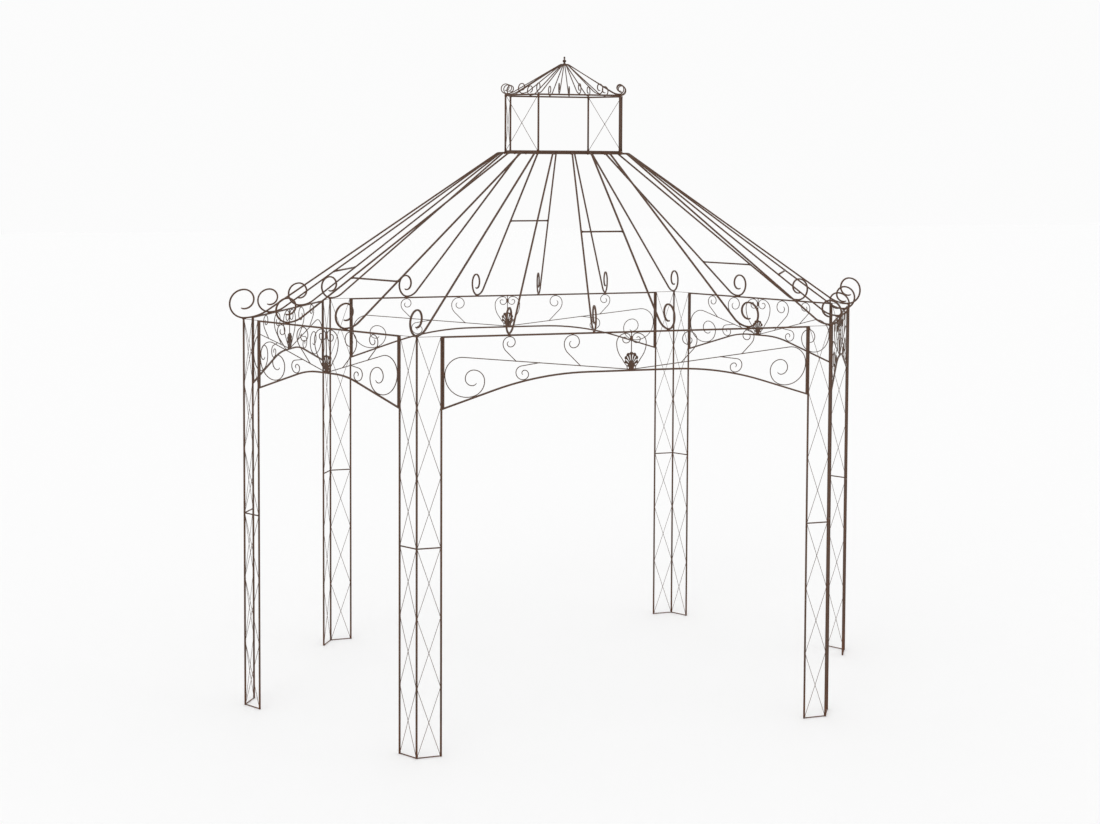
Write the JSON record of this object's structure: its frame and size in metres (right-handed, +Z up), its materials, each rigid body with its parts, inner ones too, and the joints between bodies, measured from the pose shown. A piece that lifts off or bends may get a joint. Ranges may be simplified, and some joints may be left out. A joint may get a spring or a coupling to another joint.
{
  "type": "garden pavilion",
  "caption": "Open wrought iron garden pavilion with six lattice posts, scrolled arch panels, curled rafters and a small roof lantern.",
  "frame": {"origin": "centre of the footprint at ground level", "axes": "+X along the long sides, +Z up, the long side nearest the viewer at -Y"},
  "size_m": [4.174, 2.7656, 3.9506],
  "materials": {
    "bars": "dark rust-brown painted iron bar, slightly uneven and matt",
    "scrollwork": "dark rust-brown painted iron wire, slightly uneven and matt",
    "ornament": "dark rust-brown painted casting with a grainy skin"
  },
  "bodies": {
    "root": {"post_front_left": "bars", "post_front_right": "bars", "post_right": "bars", "post_back_right": "bars", "post_back_left": "bars", "post_left": "bars", "arch_front": "bars", "arch_right_front": "bars", "arch_right_back": "bars", "arch_back": "bars", "arch_left_back": "bars", "arch_left_front": "bars", "scrolls_front": "scrollwork", "scrolls_right_front": "scrollwork", "scrolls_right_back": "scrollwork", "scrolls_back": "scrollwork", "scrolls_left_back": "scrollwork", "scrolls_left_front": "scrollwork", "shell_front": "ornament", "shell_right_front": "ornament", "shell_right_back": "ornament", "shell_back": "ornament", "shell_left_back": "ornament", "shell_left_front": "ornament", "rafters_front": "bars", "rafters_right_front": "bars", "rafters_right_back": "bars", "rafters_back": "bars", "rafters_left_back": "bars", "rafters_left_front": "bars", "corner_rafters": "bars", "tie_bars": "bars", "roof_ring": "bars", "lantern_base_ring": "bars", "lantern_posts": "bars", "lantern_lattice": "bars", "lantern_top_ring": "bars", "cap_rods": "bars", "cap_hub": "bars", "finial": "ornament"}
  },
  "joints": []
}
